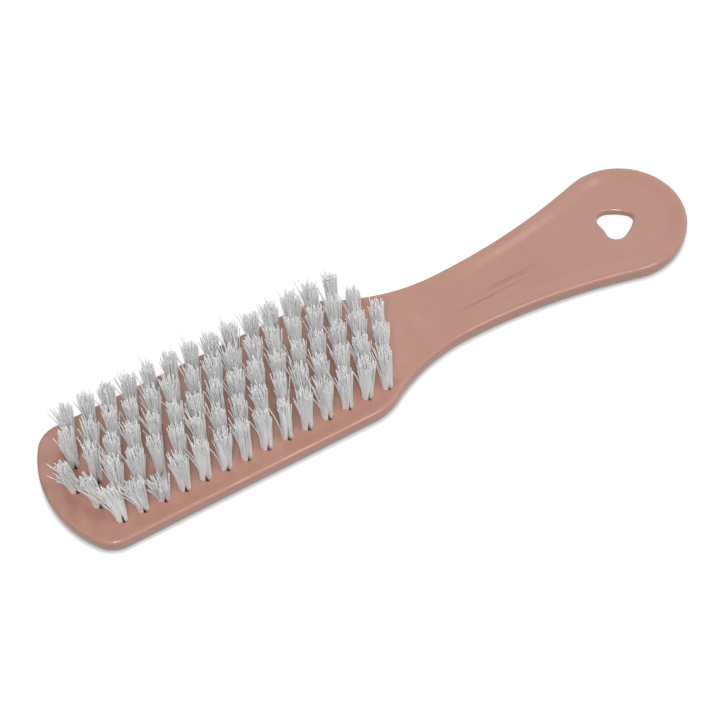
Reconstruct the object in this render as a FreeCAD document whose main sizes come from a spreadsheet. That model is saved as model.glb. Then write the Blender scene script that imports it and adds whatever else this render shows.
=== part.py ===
import FreeCAD, Part
import math
import os
import Sketcher

Vector = FreeCAD.Vector
doc = FreeCAD.newDocument("nail_brush")

# Driving sizes, in millimetres, and counts
SIZES = {
    # Outline of the moulded body, seen from above
    "overall_length": 179,
    "head_width": 37.8,
    "toe_radius": 28,
    "corner_radius": 7.5,
    "shoulder_radius": 14.5,
    "neck_radius": 50,
    "neck_width": 19.6,
    "neck_from_toe": 112,
    "paddle_radius": 16.8,
    # Thickness and edges of the body
    "body_thickness": 4.8,
    "back_edge_radius": 2.3,
    "crest_bevel": 0.5,
    # Shallow dish that the bristles stand in
    "dish_rim": 1.6,
    "dish_depth": 0.4,
    "dish_slope": 2.0,
    "dish_end_before_neck": 12,
    # Shallow dish along the handle
    "grip_rim": 1.8,
    "grip_depth": 0.6,
    "grip_slope": 3.2,
    "grip_start_before_neck": 8,
    # Hollow under the handle, which leaves a thin web
    "hollow_rim": 3.2,
    "hollow_depth": 2.4,
    "hollow_start_before_neck": 5,
    "hollow_corner_radius": 2.5,
    "hollow_bevel": 0.6,
    # Heart-shaped hang hole
    "heart_from_end": 19.45,
    "heart_length": 8.85,
    "heart_lobe_radius": 2.75,
    "heart_lobe_offset": 1.92,
    "heart_side_radius": 12.6,
    "heart_tip_radius": 2.0,
    "heart_notch_radius": 6.75,
    "heart_edge_bevel": 0.4,
    # Bristle field
    "tuft_pitch": 5.6,
    "outer_row_from_side": 5.9,
    "first_tuft_from_toe": 7.1,
    "outer_row_tufts": 14,
    "inner_row_tufts": 15,
    "middle_row_tufts": 16,
    "hole_diameter": 2.5,
    "hole_depth": 3.4,
    "tuft_clearance": 0.05,
    "tuft_height": 15.4,
    "tuft_top_diameter": 4.2,
    # Anchor strips
    "anchor_thickness": 0.3,
    "anchor_length": 3.0,
    "anchor_height": 1.5,
    "anchor_fold": 0.5,
    "anchor_clearance": 0.03,
}

# Sides in the outline of a tuft and of its hole
TUFT_SIDES = 6

# Share of a small size within which two places count as the same
NEAR_SHARE = 0.01

# Lean of the tufts that use has bent, as shares of the tuft height towards +X and +Y
STRAIGHT_LEAN_SHARES = (-0.02, 0.0)
BENT_LEAN_SHARES = {
    ("outer_front", 0): (-0.19, 0.08),
    ("outer_front", 1): (-0.07, -0.04),
    ("outer_front", 2): (-0.12, -0.04),
    ("inner_front", 0): (-0.15, -0.04),
    ("middle", 0): (-0.19, -0.06),
}

sheet = doc.addObject("Spreadsheet::Sheet", "sizes")
for line, (alias, value) in enumerate(SIZES.items(), start=1):
    sheet.set("A%d" % line, alias)
    sheet.set("B%d" % line, str(value))
    sheet.setAlias("B%d" % line, alias)
doc.recompute()


def size(alias):
    return float(sheet.get(alias))


# Sketch helpers


def new_sketch(body, name, height):
    """A sketch on the body's XY plane, raised by an expression in the sheet's names."""
    sketch = body.newObject("Sketcher::SketchObject", name)
    plane = [item for item in body.Origin.OriginFeatures if item.Role == "XY_Plane"][0]
    sketch.AttachmentSupport = [(plane, "")]
    sketch.MapMode = "FlatFace"
    sketch.setExpression("AttachmentOffset.Base.z", height)
    return sketch


def tie(sketch, name, kind, *references, value):
    """Adds a dimension that follows an expression in the sheet's names."""
    start = float(sketch.evalExpression(value))
    index = sketch.addConstraint(Sketcher.Constraint(kind, *references, start))
    sketch.renameConstraint(index, name)
    sketch.setExpression("Constraints." + name, value)


def add_arc(sketch, centre, radius, left_angle, right_angle, side):
    """An arc on the +Y side, or its mirror image. Returns its index and its left and right ends."""
    low, high = sorted((side * left_angle, side * right_angle))
    circle = Part.Circle(Vector(centre[0], side * centre[1]), Vector(0, 0, 1), radius)
    index = sketch.addGeometry(Part.ArcOfCircle(circle, low, high))
    return (index, 1, 2) if side * left_angle == low else (index, 2, 1)


def add_line(sketch, start, end):
    return sketch.addGeometry(Part.LineSegment(Vector(*start), Vector(*end))), 1, 2


def join(sketch, left_piece, right_piece, kind="Tangent"):
    """Joins the right end of one piece to the left end of the next."""
    ends = (left_piece[0], left_piece[2], right_piece[0], right_piece[1])
    sketch.addConstraint(Sketcher.Constraint(kind, *ends))


def angle_to(start, end):
    return math.atan2(end[1] - start[1], end[0] - start[0]) % (2 * math.pi)


def side_word(side):
    return "back" if side > 0 else "front"


# The body's outline, whose rim and dishes are the same arcs drawn further in


def outline_centres(inset):
    """Arc centres and radii of the outline on the +Y side, drawn in by inset."""
    half = size("overall_length") / 2
    half_head = size("head_width") / 2
    toe = size("toe_radius")
    corner = size("corner_radius")
    shoulder = size("shoulder_radius")
    neck = size("neck_radius")
    half_neck = size("neck_width") / 2
    paddle = size("paddle_radius")
    toe_centre = (toe - half, 0.0)
    corner_y = half_head - corner
    corner_centre = (toe_centre[0] - math.sqrt((toe - corner) ** 2 - corner_y**2), corner_y)
    neck_centre = (size("neck_from_toe") - half, half_neck + neck)
    shoulder_y = half_head - shoulder
    reach = math.sqrt((neck + shoulder) ** 2 - (neck_centre[1] - shoulder_y) ** 2)
    shoulder_centre = (neck_centre[0] - reach, shoulder_y)
    paddle_centre = (half - paddle, 0.0)
    run = paddle_centre[0] - neck_centre[0]
    flare = (half_neck**2 + run**2 - paddle**2) / (2 * (paddle - half_neck))
    return {
        "toe": (toe_centre, toe - inset),
        "corner": (corner_centre, corner - inset),
        "shoulder": (shoulder_centre, shoulder - inset),
        "neck": (neck_centre, neck + inset),
        "flare": ((neck_centre[0], half_neck + flare), flare + inset),
        "paddle": (paddle_centre, paddle - inset),
    }


DOWN_ANGLE = math.radians(270)
UP_ANGLE = math.radians(90)


def draw_head_side(sketch, toe, side, inset):
    """Corner, straight side, shoulder and neck of one side, joined to the toe's arc."""
    arcs = outline_centres(size(inset) if inset else 0.0)
    minus = " - sizes." + inset if inset else ""
    plus = " + sizes." + inset if inset else ""
    word = side_word(side)
    toe_angle = angle_to(arcs["toe"][0], arcs["corner"][0])
    neck_angle = angle_to(arcs["neck"][0], arcs["shoulder"][0])
    side_y = side * (arcs["corner"][0][1] + arcs["corner"][1])
    corner = add_arc(sketch, *arcs["corner"], toe_angle, UP_ANGLE, side)
    edge = add_line(sketch, (arcs["corner"][0][0], side_y), (arcs["shoulder"][0][0], side_y))
    shoulder = add_arc(sketch, *arcs["shoulder"], UP_ANGLE, neck_angle - math.pi, side)
    neck = add_arc(sketch, *arcs["neck"], neck_angle, DOWN_ANGLE, side)
    toe_end = 1 if side > 0 else 2
    join(sketch, (toe, None, toe_end), corner)
    join(sketch, corner, edge)
    join(sketch, edge, shoulder)
    join(sketch, shoulder, neck)
    sketch.addConstraint(Sketcher.Constraint("Horizontal", edge[0]))
    ends = (-1, 1, edge[0], 1) if side > 0 else (edge[0], 1, -1, 1)
    tie(sketch, word + "_half_width", "DistanceY", *ends, value="sizes.head_width / 2" + minus)
    tie(sketch, word + "_corner", "Radius", corner[0], value="sizes.corner_radius" + minus)
    tie(sketch, word + "_shoulder", "Radius", shoulder[0], value="sizes.shoulder_radius" + minus)
    tie(sketch, word + "_neck", "Radius", neck[0], value="sizes.neck_radius" + plus)
    return neck


def draw_toe(sketch, inset):
    """The toe's arc, across both sides."""
    arcs = outline_centres(size(inset) if inset else 0.0)
    minus = " - sizes." + inset if inset else ""
    angle = angle_to(arcs["toe"][0], arcs["corner"][0])
    circle = Part.Circle(Vector(*arcs["toe"][0]), Vector(0, 0, 1), arcs["toe"][1])
    toe = sketch.addGeometry(Part.ArcOfCircle(circle, angle, 2 * math.pi - angle))
    sketch.addConstraint(Sketcher.Constraint("PointOnObject", toe, 3, -1))
    tie(sketch, "toe", "Radius", toe, value="sizes.toe_radius" + minus)
    toe_place = "sizes.overall_length / 2 - sizes.toe_radius"
    tie(sketch, "toe_place", "DistanceX", toe, 3, -1, 1, value=toe_place)
    return toe


def draw_paddle(sketch, necks, inset):
    """Flares from both necks to the paddle's arc at the end of the handle."""
    arcs = outline_centres(size(inset) if inset else 0.0)
    minus = " - sizes." + inset if inset else ""
    angle = angle_to(arcs["flare"][0], arcs["paddle"][0])
    circle = Part.Circle(Vector(*arcs["paddle"][0]), Vector(0, 0, 1), arcs["paddle"][1])
    paddle = sketch.addGeometry(Part.ArcOfCircle(circle, math.pi - angle, angle - math.pi))
    sketch.addConstraint(Sketcher.Constraint("PointOnObject", paddle, 3, -1))
    tie(sketch, "paddle", "Radius", paddle, value="sizes.paddle_radius" + minus)
    paddle_place = "sizes.overall_length / 2 - sizes.paddle_radius"
    tie(sketch, "paddle_place", "DistanceX", -1, 1, paddle, 3, value=paddle_place)
    for side, neck in necks.items():
        flare = add_arc(sketch, *arcs["flare"], DOWN_ANGLE, angle, side)
        join(sketch, neck, flare)
        join(sketch, flare, (paddle, 2 if side > 0 else 1, None))
        sketch.addConstraint(Sketcher.Constraint("Vertical", neck[0], 3, neck[0], neck[2]))


def place_neck_centre(sketch, neck, side):
    """Sets a neck arc's centre, which every inset of the outline shares."""
    word = side_word(side)
    across = (-1, 1, neck[0], 3) if side > 0 else (neck[0], 3, -1, 1)
    place_along = "sizes.neck_from_toe - sizes.overall_length / 2"
    place_across = "sizes.neck_width / 2 + sizes.neck_radius"
    tie(sketch, word + "_neck_along", "DistanceX", -1, 1, neck[0], 3, value=place_along)
    tie(sketch, word + "_neck_across", "DistanceY", *across, value=place_across)


def close_across(sketch, left_ends, place, name):
    """A straight end square to the handle, between the same ends of two neck arcs."""
    back, front = left_ends[1], left_ends[-1]
    start = sketch.getPoint(back[0], back[1])
    end = sketch.getPoint(front[0], front[1])
    line = sketch.addGeometry(Part.LineSegment(start, end))
    sketch.addConstraint(Sketcher.Constraint("Coincident", line, 1, back[0], back[1]))
    sketch.addConstraint(Sketcher.Constraint("Coincident", line, 2, front[0], front[1]))
    sketch.addConstraint(Sketcher.Constraint("Vertical", line))
    along = "sizes.neck_from_toe - sizes.%s - sizes.overall_length / 2" % place
    tie(sketch, name, "DistanceX", -1, 1, line, 1, value=along)


def neck_angle_at(place, inset):
    """Angle, seen from the neck arc's centre, of its point at a distance before the neck."""
    centre, radius = outline_centres(inset)["neck"]
    return DOWN_ANGLE - math.asin(size(place) / radius)


def cut(body, name, sketch, depth, upwards=False, taper=None):
    """A pocket of the sketch, which must take material away."""
    doc.recompute()
    before = body.Shape.Volume
    pocket = body.newObject("PartDesign::Pocket", name)
    pocket.Profile = sketch
    pocket.setExpression("Length", depth)
    pocket.Reversed = upwards
    if taper:
        pocket.setExpression("TaperAngle", taper)
    doc.recompute()
    if not body.Shape.Volume < before:
        raise RuntimeError(name + " cuts nothing")
    return pocket


def soften_edges(body, name, amount, wanted, kind="Fillet"):
    """Rounds or bevels the edges of the body's last shape that a test picks."""
    doc.recompute()
    base = body.Tip
    edges = ["Edge%d" % number for number, edge in enumerate(base.Shape.Edges, start=1) if wanted(edge)]
    soft = body.newObject("PartDesign::" + kind, name)
    soft.Base = (base, edges)
    soft.setExpression("Radius" if kind == "Fillet" else "Size", amount)
    doc.recompute()


def lies_at(edge, height):
    box = edge.BoundBox
    near = NEAR_SHARE * size("crest_bevel")
    return abs(box.ZMin - height) < near and abs(box.ZMax - height) < near


# Moulded body


def make_body():
    body = doc.addObject("PartDesign::Body", "brush_body")
    body.Label = "brush_body"
    make_blank(body)
    make_bristle_dish(body)
    make_grip_dish(body)
    make_handle_hollow(body)
    make_hang_hole(body)
    make_tuft_holes(body)
    return body


def make_blank(body):
    sketch = new_sketch(body, "outline", "0")
    toe = draw_toe(sketch, None)
    necks = {side: draw_head_side(sketch, toe, side, None) for side in (1, -1)}
    draw_paddle(sketch, necks, None)
    for side, neck in necks.items():
        place_neck_centre(sketch, neck, side)
    pad = body.newObject("PartDesign::Pad", "blank")
    pad.Profile = sketch
    pad.setExpression("Length", "sizes.body_thickness")
    top = size("body_thickness")
    soften_edges(body, "back_edge", "sizes.back_edge_radius", lambda edge: lies_at(edge, 0))
    soften_edges(body, "crest_edge", "sizes.crest_bevel", lambda edge: lies_at(edge, top), "Chamfer")


def make_bristle_dish(body):
    sketch = new_sketch(body, "bristle_dish_outline", "sizes.body_thickness")
    toe = draw_toe(sketch, "dish_rim")
    ends = {}
    for side in (1, -1):
        neck = draw_head_side(sketch, toe, side, "dish_rim")
        place_neck_centre(sketch, neck, side)
        ends[side] = (neck[0], neck[2])
    close_across(sketch, ends, "dish_end_before_neck", "dish_end")
    slope = "-atan(sizes.dish_slope / sizes.dish_depth)"
    cut(body, "bristle_dish", sketch, "sizes.dish_depth", taper=slope)


def draw_handle_inset(sketch, inset, start):
    """The outline of the handle alone, drawn in by inset, with a straight end at the neck."""
    arcs = outline_centres(size(inset))
    neck_radius = "sizes.neck_radius + sizes." + inset
    necks = {}
    ends = {}
    for side in (1, -1):
        neck = add_arc(sketch, *arcs["neck"], neck_angle_at(start, size(inset)), DOWN_ANGLE, side)
        tie(sketch, side_word(side) + "_neck", "Radius", neck[0], value=neck_radius)
        necks[side] = neck
        ends[side] = (neck[0], neck[1])
    draw_paddle(sketch, necks, inset)
    for side, neck in necks.items():
        place_neck_centre(sketch, neck, side)
    close_across(sketch, ends, start, "handle_start")


def make_grip_dish(body):
    sketch = new_sketch(body, "grip_dish_outline", "sizes.body_thickness")
    draw_handle_inset(sketch, "grip_rim", "grip_start_before_neck")
    slope = "-atan(sizes.grip_slope / sizes.grip_depth)"
    cut(body, "grip_dish", sketch, "sizes.grip_depth", taper=slope)


def make_handle_hollow(body):
    sketch = new_sketch(body, "handle_hollow_outline", "0")
    draw_handle_inset(sketch, "hollow_rim", "hollow_start_before_neck")
    cut(body, "handle_hollow", sketch, "sizes.hollow_depth", upwards=True)
    floor = size("hollow_depth")
    start = outline_centres(0.0)["neck"][0][0] - size("hollow_start_before_neck")
    near = NEAR_SHARE * floor

    def upright(edge):
        """True for the two upright edges at the straight end of the hollow."""
        box = edge.BoundBox
        return max(abs(box.XMin - start), abs(box.XMax - start)) < near < box.ZLength

    soften_edges(body, "hollow_corner", "sizes.hollow_corner_radius", upright)
    soften_edges(body, "hollow_floor", "sizes.hollow_bevel", lambda edge: lies_at(edge, floor), "Chamfer")


def make_hang_hole(body):
    """A soft heart whose tip points to the end of the handle."""
    sketch = new_sketch(body, "hang_hole_outline", "0")
    lobe = size("heart_lobe_radius")
    offset = size("heart_lobe_offset")
    wide = size("heart_side_radius")
    tip = size("heart_tip_radius")
    notch = size("heart_notch_radius")
    left = size("overall_length") / 2 - size("heart_from_end") - lobe
    lobe_centre = (left + lobe, offset)
    tip_centre = (left + size("heart_length") - tip, 0.0)
    notch_centre = (lobe_centre[0] - math.sqrt((notch + lobe) ** 2 - offset**2), 0.0)
    along = math.hypot(tip_centre[0] - lobe_centre[0], offset)
    lobe_reach, tip_reach = wide - lobe, wide - tip
    share = (along**2 + lobe_reach**2 - tip_reach**2) / (2 * along)
    turn = math.atan2(tip_centre[1] - lobe_centre[1], tip_centre[0] - lobe_centre[0])
    wide_angle = turn - math.acos(share / lobe_reach)
    wide_centre = (
        lobe_centre[0] + lobe_reach * math.cos(wide_angle),
        lobe_centre[1] + lobe_reach * math.sin(wide_angle),
    )
    lobe_right = angle_to(wide_centre, lobe_centre)
    tip_angle = angle_to(wide_centre, tip_centre)
    lobe_left = angle_to(lobe_centre, notch_centre)
    notch_angle = lobe_left - math.pi

    circle = Part.Circle(Vector(*notch_centre), Vector(0, 0, 1), notch)
    notch_arc = sketch.addGeometry(Part.ArcOfCircle(circle, -notch_angle, notch_angle))
    circle = Part.Circle(Vector(*tip_centre), Vector(0, 0, 1), tip)
    tip_arc = sketch.addGeometry(Part.ArcOfCircle(circle, -tip_angle, tip_angle))
    lobes = {}
    for side in (1, -1):
        word = side_word(side)
        lobe_arc = add_arc(sketch, lobe_centre, lobe, lobe_left, lobe_right, side)
        side_arc = add_arc(sketch, wide_centre, wide, lobe_right, tip_angle, side)
        join(sketch, (notch_arc, None, 2 if side > 0 else 1), lobe_arc)
        join(sketch, lobe_arc, side_arc)
        join(sketch, side_arc, (tip_arc, 2 if side > 0 else 1, None))
        tie(sketch, word + "_lobe", "Radius", lobe_arc[0], value="sizes.heart_lobe_radius")
        tie(sketch, word + "_side", "Radius", side_arc[0], value="sizes.heart_side_radius")
        lobes[side] = lobe_arc[0]
    sketch.addConstraint(Sketcher.Constraint("Symmetric", lobes[1], 3, lobes[-1], 3, -1))
    sketch.addConstraint(Sketcher.Constraint("PointOnObject", tip_arc, 3, -1))
    tie(sketch, "tip", "Radius", tip_arc, value="sizes.heart_tip_radius")
    tie(sketch, "notch", "Radius", notch_arc, value="sizes.heart_notch_radius")
    tie(sketch, "lobe_across", "DistanceY", -1, 1, lobes[1], 3, value="sizes.heart_lobe_offset")
    lobe_along = "sizes.overall_length / 2 - sizes.heart_from_end"
    tie(sketch, "lobe_along", "DistanceX", -1, 1, lobes[1], 3, value=lobe_along)
    tip_along = "sizes.heart_length - sizes.heart_lobe_radius - sizes.heart_tip_radius"
    tie(sketch, "tip_along", "DistanceX", lobes[1], 3, tip_arc, 3, value=tip_along)
    cut(body, "hang_hole", sketch, "sizes.body_thickness", upwards=True)

    web_top = size("body_thickness") - size("grip_depth")
    right = left + size("heart_length")

    def on_hole(edge):
        box = edge.BoundBox
        inside = box.XMin > left - lobe and box.XMax < right + lobe
        near_axis = max(box.YMax, -box.YMin) < offset + 2 * lobe
        return inside and near_axis and lies_at(edge, web_top)

    soften_edges(body, "hang_hole_edge", "sizes.heart_edge_bevel", on_hole, "Chamfer")


def first_tuft(stagger):
    """X of a row's first tuft, as an expression. The middle row starts nearest the toe."""
    return "sizes.first_tuft_from_toe - sizes.overall_length / 2 + %s * sizes.tuft_pitch" % stagger


# Distance between neighbouring rows: the outer rows keep their distance from the sides of the head
ROW_SPACING = "((sizes.head_width / 2 - sizes.outer_row_from_side) / 2)"

# Rows from front to back: name, steps of the row spacing from the middle, start in pitches, count
ROWS = [
    ("outer_front", -2, 1.0, "outer_row_tufts"),
    ("inner_front", -1, 0.5, "inner_row_tufts"),
    ("middle", 0, 0.0, "middle_row_tufts"),
    ("inner_back", 1, 0.5, "inner_row_tufts"),
    ("outer_back", 2, 1.0, "outer_row_tufts"),
]


def draw_tuft_hole(sketch, row, step, stagger):
    """A blind hole drawn as a regular polygon, with one flat towards each slit."""
    x = float(sketch.evalExpression(first_tuft(stagger)))
    y = step * float(sketch.evalExpression(ROW_SPACING))
    radius = size("hole_diameter") / 2
    circle = sketch.addGeometry(Part.Circle(Vector(x, y), Vector(0, 0, 1), radius), True)
    turns = [2 * math.pi * number / TUFT_SIDES for number in range(TUFT_SIDES + 1)]
    corners = [(x + radius * math.cos(turn), y + radius * math.sin(turn)) for turn in turns]
    sides = [add_line(sketch, start, end) for start, end in zip(corners, corners[1:])]
    for number, side in enumerate(sides):
        join(sketch, side, sides[(number + 1) % TUFT_SIDES], "Coincident")
        sketch.addConstraint(Sketcher.Constraint("PointOnObject", side[0], 1, circle))
    for side in sides[1:]:
        sketch.addConstraint(Sketcher.Constraint("Equal", sides[0][0], side[0]))
    tie(sketch, row + "_hole", "Diameter", circle, value="sizes.hole_diameter")
    sketch.addConstraint(Sketcher.Constraint("Horizontal", sides[TUFT_SIDES // 4][0]))
    tie(sketch, row + "_along", "DistanceX", circle, 3, -1, 1, value="-(%s)" % first_tuft(stagger))
    if step:
        across = (-1, 1, circle, 3) if step > 0 else (circle, 3, -1, 1)
        tie(sketch, row + "_across", "DistanceY", *across, value="%d * %s" % (abs(step), ROW_SPACING))
    else:
        sketch.addConstraint(Sketcher.Constraint("PointOnObject", circle, 3, -1))


def draw_anchor_slit(sketch, row, step, stagger):
    """A slit across a tuft hole, in which the ends of its anchor strip sit."""
    x = float(sketch.evalExpression(first_tuft(stagger)))
    y = step * float(sketch.evalExpression(ROW_SPACING))
    half_slit = size("anchor_thickness") / 2 + size("anchor_clearance")
    reach = size("anchor_length") / 2 + size("anchor_clearance")
    corners = [(x - half_slit, y - reach), (x + half_slit, y - reach)]
    corners += [(x + half_slit, y + reach), (x - half_slit, y + reach)]
    sides = [add_line(sketch, corners[number], corners[(number + 1) % 4]) for number in range(4)]
    for number, side in enumerate(sides):
        join(sketch, side, sides[(number + 1) % 4], "Coincident")
        kind = "Vertical" if number % 2 else "Horizontal"
        sketch.addConstraint(Sketcher.Constraint(kind, side[0]))
    front, right, back, left = (side[0] for side in sides)
    half_width = "(sizes.anchor_thickness / 2 + sizes.anchor_clearance)"
    half_length = "(sizes.anchor_length / 2 + sizes.anchor_clearance)"
    along = "-(%s)" % first_tuft(stagger)
    tie(sketch, row + "_left", "DistanceX", left, 1, -1, 1, value=along + " + " + half_width)
    tie(sketch, row + "_right", "DistanceX", right, 1, -1, 1, value=along + " - " + half_width)
    across = "%d * %s" % (abs(step), ROW_SPACING)
    near, far = across + " - " + half_length, across + " + " + half_length
    if step > 0:
        tie(sketch, row + "_near", "DistanceY", -1, 1, front, 1, value=near)
    if step < 0:
        tie(sketch, row + "_near", "DistanceY", back, 1, -1, 1, value=near)
    if step >= 0:
        tie(sketch, row + "_back", "DistanceY", -1, 1, back, 1, value=far)
    if step <= 0:
        tie(sketch, row + "_front", "DistanceY", front, 1, -1, 1, value=far)


def make_tuft_holes(body):
    """The first hole and slit of every row, then the patterns that repeat them along the head."""
    x_axis = [item for item in body.Origin.OriginFeatures if item.Role == "X_Axis"][0]
    hole_depth = "sizes.dish_depth + sizes.hole_depth"
    first_cuts = {}
    for reach, word in ((2, "outer"), (1, "inner"), (0, "middle")):
        holes = new_sketch(body, word + "_hole_outline", "sizes.body_thickness")
        slits = new_sketch(body, word + "_slit_outline", "sizes.body_thickness")
        for row, step, stagger, count in ROWS:
            if abs(step) == reach:
                draw_tuft_hole(holes, row, step, stagger)
                draw_anchor_slit(slits, row, step, stagger)
        hole = cut(body, word + "_hole", holes, hole_depth)
        slit = cut(body, word + "_slit", slits, hole_depth + " - sizes.anchor_fold")
        first_cuts[word] = [hole, slit]
    for word, originals in first_cuts.items():
        pattern = body.newObject("PartDesign::LinearPattern", word + "_holes")
        pattern.Originals = originals
        pattern.Refine = False
        pattern.Direction = (x_axis, [""])
        pattern.setExpression("Length", "sizes.tuft_pitch * (sizes.%s_row_tufts - 1)" % word)
        pattern.setExpression("Occurrences", "sizes.%s_row_tufts" % word)
        body.Tip = pattern
    doc.recompute()


# Anchor strips and tufts

HOLE_FLOOR = "sizes.body_thickness - sizes.dish_depth - sizes.hole_depth"
MOUTH = "sizes.body_thickness - sizes.dish_depth"


def place(item, x, y, z):
    item.setExpression("Placement.Base.x", x)
    item.setExpression("Placement.Base.y", y)
    item.setExpression("Placement.Base.z", z)


def make_anchor(name, x, y):
    """A flat strip across the hole, a little above its floor, with its ends in the slits."""
    strip = doc.addObject("Part::Box", name)
    strip.setExpression("Length", "sizes.anchor_thickness")
    strip.setExpression("Width", "sizes.anchor_length")
    strip.setExpression("Height", "sizes.anchor_height")
    low = HOLE_FLOOR + " + sizes.anchor_fold"
    place(strip, x + " - sizes.anchor_thickness / 2", y + " - sizes.anchor_length / 2", low)
    return strip


def make_tuft(name, x, y, lean_shares):
    """A bundle that fills its hole and flares above the mouth."""
    tip_x, tip_y = ("%s + %s * sizes.tuft_height" % pair for pair in zip((x, y), lean_shares))
    root = "sizes.hole_diameter / 2 - sizes.tuft_clearance"
    levels = [
        ("root", root, x, y, HOLE_FLOOR),
        ("mouth", root, x, y, MOUTH),
        ("tip", "sizes.tuft_top_diameter / 2", tip_x, tip_y, MOUTH + " + sizes.tuft_height"),
    ]
    sections = []
    for word, radius, level_x, level_y, level_z in levels:
        ring = doc.addObject("Part::RegularPolygon", name + "_" + word)
        ring.Polygon = TUFT_SIDES
        ring.setExpression("Circumradius", radius)
        place(ring, level_x, level_y, level_z)
        sections.append(ring)
    loft = doc.addObject("Part::Loft", name)
    loft.Sections = sections
    loft.Solid = True
    loft.Ruled = True
    loft.Linearize = True
    return loft


def make_bristles():
    """Tufts grouped by column from the toe, and anchor strips grouped by row."""
    columns = {}
    nodes = []
    for row, step, stagger, count in ROWS:
        strips = []
        y = "%d * %s" % (step, ROW_SPACING)
        for number in range(int(size(count))):
            x = first_tuft(stagger + number)
            name = "%s_%02d" % (row, number + 1)
            strip = make_anchor("anchor_" + name, x, y)
            lean_shares = BENT_LEAN_SHARES.get((row, number), STRAIGHT_LEAN_SHARES)
            tuft = make_tuft("tuft_" + name, x, y, lean_shares)
            strips.append(strip)
            columns.setdefault(stagger + number, []).append((tuft, strip))
        group = doc.addObject("Part::Compound", "anchors_" + row + "_row")
        group.Label = "anchors_" + row + "_row"
        group.Links = strips
        nodes.append((group, len(strips)))
    for number, column in enumerate(sorted(columns), start=1):
        label = "bristle_column_%02d" % number
        bundles = doc.addObject("Part::Compound", label + "_bundles")
        bundles.Links = [tuft for tuft, strip in columns[column]]
        strips = doc.addObject("Part::Compound", label + "_strips")
        strips.Links = [strip for tuft, strip in columns[column]]
        node = doc.addObject("Part::Cut", label)
        node.Label = label
        node.Base = bundles
        node.Tool = strips
        nodes.append((node, len(columns[column])))
    return nodes


nodes = [(make_body(), 1)] + make_bristles()
doc.recompute()

# Nothing is written unless every object is sound
for item in doc.Objects:
    if "Invalid" in item.State or "Error" in item.State:
        raise RuntimeError("%s failed: %s" % (item.Name, item.State))
for node, count in nodes:
    shape = node.Shape
    if shape.isNull() or not shape.isValid() or len(shape.Solids) != count:
        raise RuntimeError("%s is not %d sound solids" % (node.Label, count))

os.makedirs("parts", exist_ok=True)
for node, count in nodes:
    node.Shape.exportStep(os.path.join("parts", node.Label + ".step"))
print("%d nodes, %d solids" % (len(nodes), sum(count for node, count in nodes)))
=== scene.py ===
import math
import random

import bmesh
import bpy
import numpy as np
from mathutils import Matrix, Vector
from mathutils.geometry import delaunay_2d_cdt


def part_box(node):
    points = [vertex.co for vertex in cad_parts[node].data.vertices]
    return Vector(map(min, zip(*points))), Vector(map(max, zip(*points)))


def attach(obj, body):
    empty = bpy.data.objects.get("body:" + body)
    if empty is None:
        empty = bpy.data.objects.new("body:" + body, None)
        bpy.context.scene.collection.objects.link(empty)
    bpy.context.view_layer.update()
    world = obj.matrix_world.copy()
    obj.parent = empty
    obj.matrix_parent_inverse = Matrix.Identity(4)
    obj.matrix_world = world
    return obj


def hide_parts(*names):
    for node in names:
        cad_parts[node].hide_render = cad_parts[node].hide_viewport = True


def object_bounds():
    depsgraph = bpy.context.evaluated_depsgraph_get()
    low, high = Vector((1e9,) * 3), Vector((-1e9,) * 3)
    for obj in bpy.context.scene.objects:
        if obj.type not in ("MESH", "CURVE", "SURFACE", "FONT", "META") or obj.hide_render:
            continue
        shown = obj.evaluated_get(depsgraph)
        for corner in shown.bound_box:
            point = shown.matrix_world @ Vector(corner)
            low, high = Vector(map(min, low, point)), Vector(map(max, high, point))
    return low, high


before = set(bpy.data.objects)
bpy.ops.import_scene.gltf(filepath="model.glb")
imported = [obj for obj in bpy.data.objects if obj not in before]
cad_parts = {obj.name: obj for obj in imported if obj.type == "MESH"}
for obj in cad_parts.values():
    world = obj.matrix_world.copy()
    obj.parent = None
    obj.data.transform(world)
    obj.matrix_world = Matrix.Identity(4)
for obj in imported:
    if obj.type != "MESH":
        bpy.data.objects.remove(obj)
cad_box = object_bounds()

MM = 0.001
body_low, body_high = (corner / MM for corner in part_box("brush_body"))

# Moulded body, in millimetres. The overall sizes come from the frame.
HALF_LENGTH = (body_high.x - body_low.x) / 2
HALF_HEAD = (body_high.y - body_low.y) / 2
THICKNESS = body_high.z - body_low.z
TOE_RADIUS = 28.0
CORNER_RADIUS = 7.5
SHOULDER_RADIUS = 14.5
NECK_RADIUS = 50.0
HALF_NECK = 9.8
NECK_X = 22.5
PADDLE_RADIUS = 16.8
BACK_EDGE_RADIUS = 2.3
CREST_RADIUS = 0.8
OUTLINE_STEP = 0.9
HEART_STEP = OUTLINE_STEP / 3
EDGE_STEPS = 6
SMALL_EDGE_STEPS = 4
RIM_STEPS = 6
SHARP_ANGLE = math.radians(35)

# Dish round the bristles and dish along the handle: where each starts to fall, how far it falls
DISH_RIM = 0.8
DISH_SLOPE = 3.0
DISH_TOE_RIM = 2.9
DISH_TOE_SLOPE = 4.6
DISH_TOE_X = -73.0
DISH_DEPTH = 0.4
DISH_END_X = NECK_X - 12.0
DISH_END_SLOPE = 3.0
GRIP_RIM = 1.0
GRIP_SLOPE = 4.4
GRIP_DEPTH = 0.6
GRIP_START_X = NECK_X - 11.5
GRIP_START_SLOPE = 4.0
RIM_WIDTH = 2.2
FACE_STEP = 1.2

# Hollow under the handle
HOLLOW_RIM = 3.2
HOLLOW_DEPTH = 2.4
HOLLOW_START_X = NECK_X - 5.0
HOLLOW_CORNER_RADIUS = 2.5
HOLLOW_FILLET = 0.6
HOLLOW_LIP = 0.25

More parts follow.
